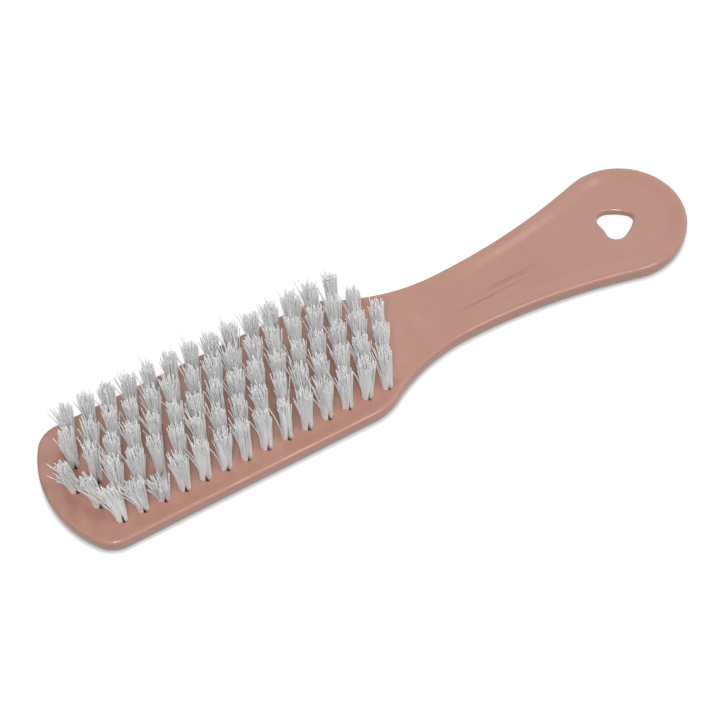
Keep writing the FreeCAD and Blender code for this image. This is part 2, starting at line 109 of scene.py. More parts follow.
# Heart-shaped hang hole, its tip towards the end of the handle
HEART_FROM_END = 22.2
HEART_LEFT_X = HALF_LENGTH - HEART_FROM_END
HEART_LENGTH = 8.85
HEART_LOBE_RADIUS = 2.75
HEART_LOBE_OFFSET = 1.92
HEART_SIDE_RADIUS = 12.6
HEART_TIP_RADIUS = 2.0
HEART_NOTCH_RADIUS = 6.75
HEART_EDGE = 0.7
HEART_MARGIN = 1.0

# Tuft holes with the slits that the anchor strips cut
HOLE_RADIUS = 1.25
HOLE_FLOOR_Z = 1.0
HOLE_POINTS = 18
SLIT_HALF_WIDTH = 0.18
SLIT_REACH = 1.53
MOUTH_Z = THICKNESS - DISH_DEPTH

# Bristles. A core is a strand inside the bundle that swells by its girth at half its height.
FILAMENT_DIAMETER = 0.29
FILAMENTS_PER_TUFT = 96
FILAMENT_POINTS = 6
FILAMENT_SIDES = 5
CORES_PER_TUFT = 9
CORE_GIRTH = 4.0
CORE_REACH_SHARE = 0.65
CORE_HEIGHT_SHARE = 0.9
BUNDLE_RADIUS = 0.9
ROOT_DEPTH = 0.9
SPLIT_GAP = 0.9
COLUMN_STEP = 2.8
TUFT_HEIGHT = (cad_box[1].z - cad_box[0].z) / MM - MOUTH_Z

# How use has loosened the bristles: lengths in millimetres, spread as times the bundle's radius
WANDER = 0.8
UNEVEN_SHARE = 0.24
STRAY_SHARE = 0.16
STRAY_REACH = 3.4
STRAY_START = math.radians(70)
STRAY_SWEEP = math.radians(200)
TIP_TAPER_SHARE = 0.3
USUAL_LEAN_X = -0.4
LEAN_RANGE = 0.3
SPREAD_RANGE = (1.95, 2.5)
HEIGHT_LOSS = 0.5
WEAR_SEED = 7

# Powers of the way up a filament: how it fans, bows, leaves the parting and narrows at its tip
FAN_POWER = 0.72
BOW_POWER = 1.1
CLOSING_POWER = 4.0
TAPER_POWER = 9.0

# Power of a chance between nothing and one: few filaments are much shorter than the rest
SHORT_POWER = 2.5

ANCHOR_THICKNESS = 0.3
ROWS = {"outer_front": 14, "inner_front": 15, "middle": 16, "inner_back": 15, "outer_back": 14}


# Nodes and colours


def linear(hex_colour):
    """An sRGB hex colour as linear red, green, blue and alpha."""
    shares = [int(hex_colour[place : place + 2], 16) / 255 for place in (1, 3, 5)]
    return [
        share / 12.92 if share <= 0.04045 else ((share + 0.055) / 1.055) ** 2.4
        for share in shares
    ] + [1.0]


def add(tree, kind, settings=None, inputs=None):
    """Adds a node with its settings, and links or fills its inputs by name or number."""
    node = tree.nodes.new(kind)
    for name, value in (settings or {}).items():
        setattr(node, name, value)
    for name, value in (inputs or {}).items():
        if isinstance(value, bpy.types.NodeSocket):
            tree.links.new(value, node.inputs[name])
        else:
            node.inputs[name].default_value = value
    return node


def calculate(tree, operation, *values):
    """The result of a Math node on numbers or sockets."""
    return add(tree, "ShaderNodeMath", {"operation": operation}, dict(enumerate(values))).outputs[0]


def calculate_vector(tree, operation, *values):
    """The result of a Vector Math node on vectors or sockets."""
    return add(tree, "ShaderNodeVectorMath", {"operation": operation}, dict(enumerate(values))).outputs[0]


def new_material(name):
    material = bpy.data.materials.new(name)
    material.use_nodes = True
    material.node_tree.nodes.clear()
    return material, material.node_tree


# Outline of the body


def angle_to(start, end):
    return math.atan2(end[1] - start[1], end[0] - start[0]) % (2 * math.pi)


def arc_points(centre, radius, start, end, outward, step=OUTLINE_STEP):
    """Points and outward directions along an arc, without its last point."""
    count = max(2, math.ceil(abs(end - start) * radius / step))
    turns = [start + (end - start) * number / count for number in range(count)]
    return [
        (centre[0] + radius * math.cos(turn), centre[1] + radius * math.sin(turn),
         outward * math.cos(turn), outward * math.sin(turn))
        for turn in turns
    ]


def mirrored(half):
    """The +Y half of an outline, from one point on the axis to another, and its mirror image."""
    start, end = half[0], half[-1]
    return [start] + half[1:-1] + [end] + [(x, -y, nx, -ny) for x, y, nx, ny in reversed(half[1:-1])]


def body_arcs():
    """Centres of the arcs on the +Y side of the body, from the toe to the paddle."""
    toe = (TOE_RADIUS - HALF_LENGTH, 0.0)
    corner_y = HALF_HEAD - CORNER_RADIUS
    corner = (toe[0] - math.sqrt((TOE_RADIUS - CORNER_RADIUS) ** 2 - corner_y**2), corner_y)
    neck = (NECK_X, HALF_NECK + NECK_RADIUS)
    shoulder_y = HALF_HEAD - SHOULDER_RADIUS
    reach = math.sqrt((NECK_RADIUS + SHOULDER_RADIUS) ** 2 - (neck[1] - shoulder_y) ** 2)
    shoulder = (neck[0] - reach, shoulder_y)
    paddle = (HALF_LENGTH - PADDLE_RADIUS, 0.0)
    run = paddle[0] - NECK_X
    flare_radius = (HALF_NECK**2 + run**2 - PADDLE_RADIUS**2) / (2 * (PADDLE_RADIUS - HALF_NECK))
    flare = (NECK_X, HALF_NECK + flare_radius)
    return toe, corner, shoulder, neck, flare, flare_radius, paddle


def body_outline():
    toe, corner, shoulder, neck, flare, flare_radius, paddle = body_arcs()
    toe_turn = angle_to(toe, corner)
    neck_turn = angle_to(neck, shoulder)
    flare_turn = angle_to(flare, paddle)
    up, down = math.radians(90), math.radians(270)
    half = arc_points(toe, TOE_RADIUS, math.pi, toe_turn, 1)
    half += arc_points(corner, CORNER_RADIUS, toe_turn, up, 1)
    steps = math.ceil((shoulder[0] - corner[0]) / (2 * OUTLINE_STEP))
    run = (shoulder[0] - corner[0]) / steps
    half += [(corner[0] + run * number, HALF_HEAD, 0.0, 1.0) for number in range(steps)]
    half += arc_points(shoulder, SHOULDER_RADIUS, up, neck_turn - math.pi, 1)
    half += arc_points(neck, NECK_RADIUS, neck_turn, down, -1)
    half += arc_points(flare, flare_radius, down, flare_turn, -1)
    half += arc_points(paddle, PADDLE_RADIUS, flare_turn - math.pi, 0.0, 1)
    half.append((HALF_LENGTH, 0.0, 1.0, 0.0))
    return mirrored(half)


def hollow_outline():
    """The handle's outline drawn in by the hollow's rim, with two round corners at the neck."""
    toe, corner, shoulder, neck, flare, flare_radius, paddle = body_arcs()
    flare_turn = angle_to(flare, paddle)
    down = math.radians(270)
    arc_x = HOLLOW_START_X + HOLLOW_CORNER_RADIUS
    reach = NECK_RADIUS + HOLLOW_RIM + HOLLOW_CORNER_RADIUS
    arc_centre = (arc_x, neck[1] - math.sqrt(reach**2 - (arc_x - NECK_X) ** 2))
    neck_turn = angle_to(neck, arc_centre)
    half = [(HOLLOW_START_X, 0.0, -1.0, 0.0)]
    half += arc_points(arc_centre, HOLLOW_CORNER_RADIUS, math.pi, neck_turn - math.pi, 1)
    half += arc_points(neck, NECK_RADIUS + HOLLOW_RIM, neck_turn, down, -1)
    half += arc_points(flare, flare_radius + HOLLOW_RIM, down, flare_turn, -1)
    half += arc_points(paddle, PADDLE_RADIUS - HOLLOW_RIM, flare_turn - math.pi, 0.0, 1)
    half.append((HALF_LENGTH - HOLLOW_RIM, 0.0, 1.0, 0.0))
    return mirrored(half)


def heart_outline():
    lobe = (HEART_LEFT_X + HEART_LOBE_RADIUS, HEART_LOBE_OFFSET)
    tip = (HEART_LEFT_X + HEART_LENGTH - HEART_TIP_RADIUS, 0.0)
    notch_reach = HEART_NOTCH_RADIUS + HEART_LOBE_RADIUS
    notch = (lobe[0] - math.sqrt(notch_reach**2 - HEART_LOBE_OFFSET**2), 0.0)
    along = math.hypot(tip[0] - lobe[0], lobe[1])
    lobe_reach = HEART_SIDE_RADIUS - HEART_LOBE_RADIUS
    tip_reach = HEART_SIDE_RADIUS - HEART_TIP_RADIUS
    share = (along**2 + lobe_reach**2 - tip_reach**2) / (2 * along)
    turn = math.atan2(tip[1] - lobe[1], tip[0] - lobe[0]) - math.acos(share / lobe_reach)
    side = (lobe[0] + lobe_reach * math.cos(turn), lobe[1] + lobe_reach * math.sin(turn))
    lobe_right = angle_to(side, lobe)
    lobe_left = angle_to(lobe, notch)
    tip_turn = angle_to(side, tip)
    half = arc_points(notch, HEART_NOTCH_RADIUS, 0.0, lobe_left - math.pi, -1, HEART_STEP)
    half += arc_points(lobe, HEART_LOBE_RADIUS, lobe_left, lobe_right, 1, HEART_STEP)
    half += arc_points(side, HEART_SIDE_RADIUS, lobe_right, tip_turn, 1, HEART_STEP)
    half += arc_points(tip, HEART_TIP_RADIUS, tip_turn, 0.0, 1, HEART_STEP)
    half.append((HEART_LEFT_X + HEART_LENGTH, 0.0, 1.0, 0.0))
    return mirrored(half)


def inset_loop(outline, inset):
    return [(x - inset * nx, y - inset * ny) for x, y, nx, ny in outline]


# Body shell


def smooth(share):
    share = min(max(share, 0.0), 1.0)
    return share * share * (3 - 2 * share)


def face_height(x, inset):
    """Height of the bristle face and the grip at a distance from the outline."""
    toe_share = smooth((DISH_TOE_X - x) / DISH_TOE_SLOPE)
    rim = DISH_RIM + (DISH_TOE_RIM - DISH_RIM) * toe_share
    slope = DISH_SLOPE + (DISH_TOE_SLOPE - DISH_SLOPE) * toe_share
    dish = smooth((inset - rim) / slope) * smooth((DISH_END_X - x) / DISH_END_SLOPE)
    grip = smooth((inset - GRIP_RIM) / GRIP_SLOPE) * smooth((x - GRIP_START_X) / GRIP_START_SLOPE)
    return THICKNESS - DISH_DEPTH * dish - GRIP_DEPTH * grip


class Shell:
    """Points and faces of a closed skin, in millimetres."""

    def __init__(self):
        self.points = []
        self.faces = []

    def loop(self, points):
        start = len(self.points)
        self.points += points
        return list(range(start, len(self.points)))

    def bridge(self, first, second):
        count = len(first)
        for number in range(count):
            after = (number + 1) % count
            self.faces.append((first[number], first[after], second[after], second[number]))

    def fan(self, loop, centre):
        middle = self.loop([centre])[0]
        for number, corner in enumerate(loop):
            self.faces.append((corner, loop[(number + 1) % len(loop)], middle))

    def fill(self, outer, holes=(), extra=()):
        """Triangles between an outer loop and the loops of its holes, through extra points."""
        loops = [outer, *holes]
        order = [corner for loop in loops for corner in loop] + self.loop(list(extra))
        owner = {}
        edges = []
        for number, loop in enumerate(loops):
            start = len(owner)
            for place, corner in enumerate(loop):
                owner[corner] = number
                edges.append((start + place, start + (place + 1) % len(loop)))
        flat = [Vector(self.points[corner][:2]) for corner in order]
        result = delaunay_2d_cdt(flat, edges, [], 1, 1e-5)
        sources = [order[origins[0]] for origins in result[3]]
        for triangle in result[2]:
            corners = [sources[corner] for corner in triangle]
            owners = {owner.get(corner, -1) for corner in corners}
            if len(owners) == 1 and owners.pop() > 0:
                continue
            self.faces.append(tuple(corners))

    def mesh(self, name):
        mesh = bpy.data.meshes.new(name)
        mesh.from_pydata([Vector(point) * MM for point in self.points], [], self.faces)
        shape = bmesh.new()
        shape.from_mesh(mesh)
        bmesh.ops.recalc_face_normals(shape, faces=shape.faces)
        shape.to_mesh(mesh)
        shape.free()
        return mesh


def tuft_hole_loop(x, y):
    """A round hole with a slit on its front and back."""
    edge = math.asin(SLIT_HALF_WIDTH / HOLE_RADIUS)
    half_turn = math.radians(90)
    loop = []
    for side in (0, 1):
        start = -half_turn + edge + side * math.pi
        sweep = math.pi - 2 * edge
        turns = [start + sweep * number / (HOLE_POINTS // 2) for number in range(HOLE_POINTS // 2 + 1)]
        loop += [(x + HOLE_RADIUS * math.cos(turn), y + HOLE_RADIUS * math.sin(turn)) for turn in turns]
        sign = 1 - 2 * side
        loop += [(x + sign * SLIT_HALF_WIDTH, y + sign * SLIT_REACH)]
        loop += [(x - sign * SLIT_HALF_WIDTH, y + sign * SLIT_REACH)]
    return loop


def inset_at(edge, x, y):
    """Distance in from the outline, less than nothing outside it."""
    gaps = np.hypot(edge[:, 0] - x, edge[:, 1] - y)
    near = edge[gaps.argmin()]
    inward = (near[0] - x) * near[2] + (near[1] - y) * near[3]
    return math.copysign(gaps.min(), inward)


def face_points(outline, holes):
    """Points that carry the fall of the face from the rim inwards, clear of every hole."""
    edge = np.array(outline)
    centres = np.array(holes)
    reach = 2 * HALF_NECK
    along = np.arange(0.0, HALF_LENGTH, FACE_STEP)
    across = np.arange(-reach, reach, FACE_STEP)
    flat = [(x, y) for x in along for y in across]
    fall_end = max(GRIP_RIM + GRIP_SLOPE, DISH_TOE_RIM + DISH_TOE_SLOPE)
    found = [(x, y, inset_at(edge, x, y)) for x, y in flat]
    found = [point for point in found if point[2] > fall_end + FACE_STEP / 2]
    inset = RIM_WIDTH
    while inset < fall_end:
        inset += FACE_STEP / 3
        found += [(x, y, inset) for x, y in inset_loop(outline, inset)[::2]]
    points = []
    for x, y, inset in found:
        clear = np.hypot(centres[:, 0] - x, centres[:, 1] - y).min() > SLIT_REACH + FACE_STEP / 4
        heart_along = -HEART_MARGIN < x - HEART_LEFT_X < HEART_LENGTH + HEART_MARGIN
        heart_across = abs(y) < HEART_LENGTH / 2 + HEART_MARGIN
        if clear and not (heart_along and heart_across):
            points.append((x, y, face_height(x, inset)))
    return points


def quarter_turns(count):
    """Angles from nothing to a right angle."""
    return [math.radians(90) * number / count for number in range(count + 1)]


def add_rings(shell, outline, rings):
    """Bridges loops of an outline, each drawn in and raised as its ring says."""
    loops = [shell.loop([(x, y, height) for x, y in inset_loop(outline, inset)]) for inset, height in rings]
    for first, second in zip(loops, loops[1:]):
        shell.bridge(first, second)
    return loops


def make_body_mesh(tufts):
    """The whole body: rounded edges, dished face with its holes, heart, and the hollow behind."""
    shell = Shell()
    outline = body_outline()
    loops = []
    for turn in quarter_turns(EDGE_STEPS):
        inset = BACK_EDGE_RADIUS * (1 - math.sin(turn))
        height = BACK_EDGE_RADIUS * (1 - math.cos(turn))
        loops.append(shell.loop([(x, y, height) for x, y in inset_loop(outline, inset)]))
    for turn in quarter_turns(EDGE_STEPS):
        inset = CREST_RADIUS * (1 - math.cos(turn))
        height = THICKNESS - CREST_RADIUS * (1 - math.sin(turn))
        loops.append(shell.loop([(x, y, height) for x, y in inset_loop(outline, inset)]))
    for number in range(1, RIM_STEPS + 1):
        inset = CREST_RADIUS + (RIM_WIDTH - CREST_RADIUS) * number / RIM_STEPS
        loops.append(shell.loop([(x, y, face_height(x, inset)) for x, y in inset_loop(outline, inset)]))
    for first, second in zip(loops, loops[1:]):
        shell.bridge(first, second)

    edge = np.array(outline)
    hole_loops = []
    for x, y in tufts:
        mouth = tuft_hole_loop(x, y)
        top = shell.loop([(px, py, face_height(px, inset_at(edge, px, py))) for px, py in mouth])
        floor = shell.loop([(px, py, HOLE_FLOOR_Z) for px, py in mouth])
        shell.bridge(top, floor)
        shell.fan(floor, (x, y, HOLE_FLOOR_Z))
        hole_loops.append(top)

    web_top = THICKNESS - GRIP_DEPTH
    heart_rings = []
    for turn in quarter_turns(SMALL_EDGE_STEPS):
        heart_rings.append((HEART_EDGE * (math.sin(turn) - 1), web_top - HEART_EDGE * (1 - math.cos(turn))))
    heart_rings.append((0.0, HOLLOW_DEPTH))
    heart_loops = add_rings(shell, heart_outline(), heart_rings)
    shell.fill(loops[-1], hole_loops + [heart_loops[0]], face_points(outline, tufts))

    hollow_rings = [(-HOLLOW_LIP, 0.0), (0.0, HOLLOW_LIP)]
    for turn in quarter_turns(SMALL_EDGE_STEPS):
        rise = HOLLOW_DEPTH - HOLLOW_FILLET * (1 - math.sin(turn))
        hollow_rings.append((HOLLOW_FILLET * (1 - math.cos(turn)), rise))
    hollow_loops = add_rings(shell, hollow_outline(), hollow_rings)
    shell.fill(loops[0], [hollow_loops[0]])
    shell.fill(hollow_loops[-1], [heart_loops[-1]])
    return shell.mesh("moulded_body")


def new_piece(name, mesh, material, replaced):
    piece = bpy.data.objects.new(name, mesh)
    bpy.context.scene.collection.objects.link(piece)
    if material.name not in mesh.materials:
        mesh.materials.append(material)
    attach(piece, "root")
    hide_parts(*replaced)
    return piece


# Materials


def polypropylene():
    """Moulded polypropylene: dusty pink with soft highlights, faint flow clouds and a few dark specks."""
    material, tree = new_material("moulded_polypropylene")
    place = add(tree, "ShaderNodeTexCoord").outputs["Object"]
    clouds = add(tree, "ShaderNodeTexNoise", inputs={"Vector": place, "Scale": 1 / (14 * MM), "Detail": 3.0})
    base = add(tree, "ShaderNodeMix", {"data_type": "RGBA"}, {
        "Factor": clouds.outputs["Fac"],
        "A": linear("#B68B7A"),
        "B": linear("#AE8170"),
    })
    # Flow streaks run along the middle of the handle, about 1 mm wide and 30 mm long
    stretch = add(tree, "ShaderNodeMapping", inputs={
        "Vector": place,
        "Rotation": (0.0, 0.0, math.radians(3.0)),
        "Scale": (1 / (30 * MM), 1 / (1.1 * MM), 1 / (30 * MM)),
    })
    streaks = add(tree, "ShaderNodeTexNoise", inputs={
        "Vector": stretch.outputs[0],
        "Scale": 1.0,
        "Detail": 2.0,
    })
    streaks = add(tree, "ShaderNodeMapRange", {"interpolation_type": "SMOOTHSTEP"}, {
        "Value": streaks.outputs["Fac"],
        "From Min": 0.56,
        "From Max": 0.78,
    })
    centred = add(tree, "ShaderNodeMapping", {"vector_type": "TEXTURE"}, {
        "Vector": place,
        "Location": (34 * MM, -2.2 * MM, 0.0),
        "Scale": (26 * MM, 3.4 * MM, 1.0),
    })
    distance = add(tree, "ShaderNodeVectorMath", {"operation": "LENGTH"}, {0: centred.outputs[0]})
    middle = add(tree, "ShaderNodeMapRange", {"interpolation_type": "SMOOTHSTEP"}, {
        "Value": distance.outputs["Value"],
        "From Min": 1.0,
        "From Max": 0.3,
    })
    base = add(tree, "ShaderNodeMix", {"data_type": "RGBA"}, {
        "Factor": calculate(tree, "MULTIPLY", streaks.outputs[0], middle.outputs[0]),
        "A": base.outputs["Result"],
        "B": linear("#9E7062"),
    })
    # Burnt specks up to half a millimetre across, sparse because most cells miss the surface
    cells = add(tree, "ShaderNodeTexVoronoi", inputs={"Vector": place, "Scale": 1 / (13 * MM)})
    specks = add(tree, "ShaderNodeMapRange", inputs={
        "Value": cells.outputs["Distance"],
        "From Min": 0.022,
        "From Max": 0.012,
        "To Max": 0.7,
    })
    base = add(tree, "ShaderNodeMix", {"data_type": "RGBA"}, {
        "Factor": specks.outputs[0],
        "A": base.outputs["Result"],
        "B": linear("#5E4236"),
    })
    ripple = add(tree, "ShaderNodeTexNoise", inputs={"Vector": place, "Scale": 1 / (6 * MM), "Detail": 2.0})
    bump = add(tree, "ShaderNodeBump", inputs={
        "Strength": 0.1,
        "Distance": 0.1 * MM,
        "Height": ripple.outputs["Fac"],
    })
    shader = add(tree, "ShaderNodeBsdfPrincipled", inputs={
        "Base Color": base.outputs["Result"],
        "Roughness": 0.16,
        "IOR": 1.47,
        "Subsurface Weight": 0.3,
        "Subsurface Radius": (1.0, 0.45, 0.3),
        "Subsurface Scale": 1.5 * MM,
        "Normal": bump.outputs["Normal"],
    })
    add(tree, "ShaderNodeOutputMaterial", inputs={"Surface": shader.outputs["BSDF"]})
    return material


def nylon_filament():
    """Drawn nylon filament: milky white that lets some light through, with a soft dull shine."""
    material, tree = new_material("drawn_nylon_filament")
    place = add(tree, "ShaderNodeTexCoord").outputs["Object"]
    strands = add(tree, "ShaderNodeTexNoise", inputs={
        "Vector": place,
        "Scale": 1 / (0.6 * MM),
        "Detail": 1.0,
    })
    base = add(tree, "ShaderNodeMix", {"data_type": "RGBA"}, {
        "Factor": strands.outputs["Fac"],
        "A": linear("#FAFAFA"),
        "B": linear("#FDFDFD"),
    })
    shader = add(tree, "ShaderNodeBsdfPrincipled", inputs={
        "Base Color": base.outputs["Result"],
        "Roughness": 0.65,
        "IOR": 1.53,
    })
    through = add(tree, "ShaderNodeBsdfTranslucent", inputs={"Color": base.outputs["Result"]})
    milky = add(tree, "ShaderNodeMixShader", inputs={
        "Fac": 0.3,
        1: shader.outputs["BSDF"],
        2: through.outputs["BSDF"],
    })
    add(tree, "ShaderNodeOutputMaterial", inputs={"Surface": milky.outputs[0]})
    return material


def steel_strip():
    """Cold-rolled steel strip: dull grey with fine rolling lines."""
    material, tree = new_material("rolled_steel_strip")
    place = add(tree, "ShaderNodeTexCoord").outputs["Object"]
    lines = add(tree, "ShaderNodeTexNoise", inputs={"Vector": place, "Scale": 1 / (0.2 * MM)})
    base = add(tree, "ShaderNodeMix", {"data_type": "RGBA"}, {
        "Factor": lines.outputs["Fac"],
        "A": linear("#4A4744"),
        "B": linear("#6B6763"),
    })
    shader = add(tree, "ShaderNodeBsdfPrincipled", inputs={
        "Base Color": base.outputs["Result"],
        "Metallic": 1.0,
        "Roughness": 0.5,
    })
    add(tree, "ShaderNodeOutputMaterial", inputs={"Surface": shader.outputs["BSDF"]})
    return material


# Bristles

# Bent tufts at the toe: lean and height in millimetres, splay as times the bundle's radius
WORN_TUFTS = {
    ("outer_front", 0): {"lean": (-2.1, 1.0), "splay": (3.0, 1.6), "height": 13.8},
    ("outer_front", 1): {"lean": (-1.7, -0.4), "splay": (3.1, 2.3), "height": 13.2},
    ("outer_front", 2): {"lean": (-1.3, -1.0), "splay": (3.4, 2.7), "height": 10.4},
    ("outer_front", 3): {"lean": (-0.9, 0.0), "splay": (2.7, 2.3), "height": 13.8},
    ("inner_front", 0): {"lean": (-2.3, -0.6), "splay": (2.0, 1.7), "height": 14.0},
    ("middle", 0): {"lean": (-2.85, -1.0), "splay": (2.0, 1.6), "height": 14.2},
}


def tuft_places():
    """Places of the tufts of every row, from the anchor strips that hold them."""
    places = {}
    for row, count in ROWS.items():
        low, high = (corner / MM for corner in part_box("anchors_%s_row" % row))
        pitch = (high.x - low.x - ANCHOR_THICKNESS) / (count - 1)
        first = low.x + ANCHOR_THICKNESS / 2
        places[row] = [(first + pitch * number, (low.y + high.y) / 2) for number in range(count)]
    return places


def bristle_tree():
    """Filaments that stand in each hole in two halves, fan out and end at uneven heights."""
    tree = bpy.data.node_groups.new("bristle_tufts", "GeometryNodeTree")
    tree.is_modifier = True
    sockets = [
        ("Tuft places", "NodeSocketGeometry"),
        ("Filaments per tuft", "NodeSocketInt"),
        ("Cores per tuft", "NodeSocketInt"),
        ("Core girth", "NodeSocketFloat"),
        ("Filament diameter", "NodeSocketFloat"),
        ("Bundle radius", "NodeSocketFloat"),
        ("Split gap", "NodeSocketFloat"),
        ("Root depth", "NodeSocketFloat"),
        ("Wander", "NodeSocketFloat"),
        ("Uneven share", "NodeSocketFloat"),
        ("Stray share", "NodeSocketFloat"),
        ("Stray reach", "NodeSocketFloat"),
        ("Low corner", "NodeSocketVector"),
        ("High corner", "NodeSocketVector"),
        ("Seed", "NodeSocketInt"),
        ("Finish", "NodeSocketMaterial"),
    ]
    for name, kind in sockets:
        tree.interface.new_socket(name, in_out="INPUT", socket_type=kind)
    tree.interface.new_socket("Bristles", in_out="OUTPUT", socket_type="NodeSocketGeometry")
    given = add(tree, "NodeGroupInput").outputs

    copies = add(tree, "GeometryNodeDuplicateElements", {"domain": "POINT"}, {
        "Geometry": given["Tuft places"],
        "Amount": given["Filaments per tuft"],
    })
    chance = {}
    names = ("across", "turn", "length", "wander", "stray", "stray_turn", "stray_size")
    for number, name in enumerate(names):
        seed = calculate(tree, "MULTIPLY_ADD", given["Seed"], float(len(names)), float(number))
        kind = "FLOAT_VECTOR" if name == "wander" else "FLOAT"
        value = add(tree, "FunctionNodeRandomValue", {"data_type": kind}, {"Seed": seed})
        chance[name] = value.outputs[0 if name == "wander" else 1]

    # The first few strands of each tuft are the cores
    is_core = calculate(tree, "LESS_THAN", copies.outputs["Duplicate Index"], given["Cores per tuft"])

    def core_share(share):
        """One for a filament, and the share for a core."""
        return add(tree, "ShaderNodeMapRange", inputs={
            "Value": is_core,
            "To Min": 1.0,
            "To Max": share,
        }).outputs[0]

    def rotated(length, angle):
        """A vector of a length, turned about the upright axis."""
        spoke = add(tree, "ShaderNodeCombineXYZ", inputs={"X": length})
        return add(tree, "ShaderNodeVectorRotate", {"rotation_type": "Z_AXIS"}, {
            "Vector": spoke.outputs[0],
            "Angle": angle,
        }).outputs[0]

    def named(name, kind="FLOAT_VECTOR"):
        return add(tree, "GeometryNodeInputNamedAttribute", {"data_type": kind}, {"Name": name}).outputs[0]

    def upright(height):
        return add(tree, "ShaderNodeCombineXYZ", inputs={"Z": height}).outputs[0]

    # Where a filament stands in its hole: spread evenly over a round, then parted along the strip
    even = calculate(tree, "SQRT", chance["across"])
    crowded = calculate(tree, "MULTIPLY", even, core_share(CORE_REACH_SHARE))
    reach = calculate(tree, "MULTIPLY", crowded, given["Bundle radius"])
    offset = rotated(reach, calculate(tree, "MULTIPLY", chance["turn"], 2 * math.pi))
    parts = add(tree, "ShaderNodeSeparateXYZ", inputs={0: offset})
    gap = calculate(tree, "MULTIPLY", calculate(tree, "SIGN", parts.outputs["X"]), given["Split gap"])
    half_gap = calculate(tree, "MULTIPLY", gap, 0.5)
    parting = add(tree, "ShaderNodeCombineXYZ", inputs={"X": half_gap}).outputs[0]
    sunk = upright(calculate(tree, "MULTIPLY", given["Root depth"], -1.0))
    root = calculate_vector(tree, "ADD", offset, sunk)

    # Where it ends: fanned out, with a little wander and an uneven length
    fanned = calculate_vector(tree, "MULTIPLY", offset, named("splay"))
    wander = add(tree, "ShaderNodeVectorMath", {"operation": "SCALE"}, {
        0: calculate_vector(tree, "SUBTRACT", chance["wander"], (0.5, 0.5, 0.5)),
        "Scale": given["Wander"],
    }).outputs[0]
    wander_flat = calculate_vector(tree, "MULTIPLY", wander, (1.0, 1.0, 0.0))
    short = calculate(tree, "POWER", chance["length"], SHORT_POWER)
    kept = calculate(tree, "SUBTRACT", 1.0, calculate(tree, "MULTIPLY", short, given["Uneven share"]))
    kept = calculate(tree, "MULTIPLY", kept, core_share(CORE_HEIGHT_SHARE))
    rise = calculate(tree, "MULTIPLY", named("height", "FLOAT"), kept)
    tip = calculate_vector(tree, "ADD", calculate_vector(tree, "ADD", fanned, wander_flat), upright(rise))

    # How it bends: with its tuft, and a few strays further, mostly towards the toe
    strays = add(tree, "ShaderNodeMath", {"operation": "SUBTRACT", "use_clamp": True}, {
        0: calculate(tree, "LESS_THAN", chance["stray"], given["Stray share"]),
        1: is_core,
    }).outputs[0]
    stray_reach = calculate(tree, "MULTIPLY", strays, given["Stray reach"])
    stray_size = calculate(tree, "MULTIPLY", stray_reach, chance["stray_size"])
    stray_turn = calculate(tree, "MULTIPLY_ADD", chance["stray_turn"], STRAY_SWEEP, STRAY_START)
    bend = calculate_vector(tree, "ADD", named("lean"), rotated(stray_size, stray_turn))

    points = copies.outputs["Geometry"]
    stored = {
        "filament_place": ("FLOAT_VECTOR", add(tree, "GeometryNodeInputPosition").outputs[0]),
        "filament_root": ("FLOAT_VECTOR", root),
        "filament_tip": ("FLOAT_VECTOR", tip),
        "filament_bend": ("FLOAT_VECTOR", bend),
        "filament_parting": ("FLOAT_VECTOR", parting),
        "filament_core": ("FLOAT", is_core),
    }
    for name, (kind, value) in stored.items():
        points = add(tree, "GeometryNodeStoreNamedAttribute", {"data_type": kind, "domain": "POINT"}, {
            "Geometry": points,
            "Name": name,
            "Value": value,
        }).outputs[0]
    read = {name: named(name, kind) for name, (kind, value) in stored.items()}

    # A straight line on every point, then each line shaped into its filament
    line = add(tree, "GeometryNodeCurvePrimitiveLine", inputs={"End": (0.0, 0.0, MM)})
    strand = add(tree, "GeometryNodeResampleCurve", inputs={
        "Curve": line.outputs[0],
        "Count": FILAMENT_POINTS,
    })
    strands = add(tree, "GeometryNodeInstanceOnPoints", inputs={
        "Points": points,
        "Instance": strand.outputs[0],
    })
    loose = add(tree, "GeometryNodeRealizeInstances", inputs={"Geometry": strands.outputs[0]})
    along = add(tree, "GeometryNodeSplineParameter").outputs["Factor"]
    left = calculate(tree, "SUBTRACT", 1.0, along)
    straight = add(tree, "ShaderNodeMix", {"data_type": "VECTOR"}, {
        "Factor": calculate(tree, "POWER", along, FAN_POWER),
        "A": read["filament_root"],
        "B": read["filament_tip"],
    })
    bowed = calculate(tree, "POWER", along, BOW_POWER)
    bent = calculate_vector(tree, "MULTIPLY_ADD", read["filament_bend"], bowed, straight.outputs["Result"])
    closing = calculate(tree, "POWER", left, CLOSING_POWER)
    shape = calculate_vector(tree, "MULTIPLY_ADD", read["filament_parting"], closing, bent)
    placed = calculate_vector(tree, "ADD", shape, read["filament_place"])
    above_low = calculate_vector(tree, "MAXIMUM", placed, given["Low corner"])
    curves = add(tree, "GeometryNodeSetPosition", inputs={
        "Geometry": loose.outputs[0],
        "Position": calculate_vector(tree, "MINIMUM", above_low, given["High corner"]),
    })

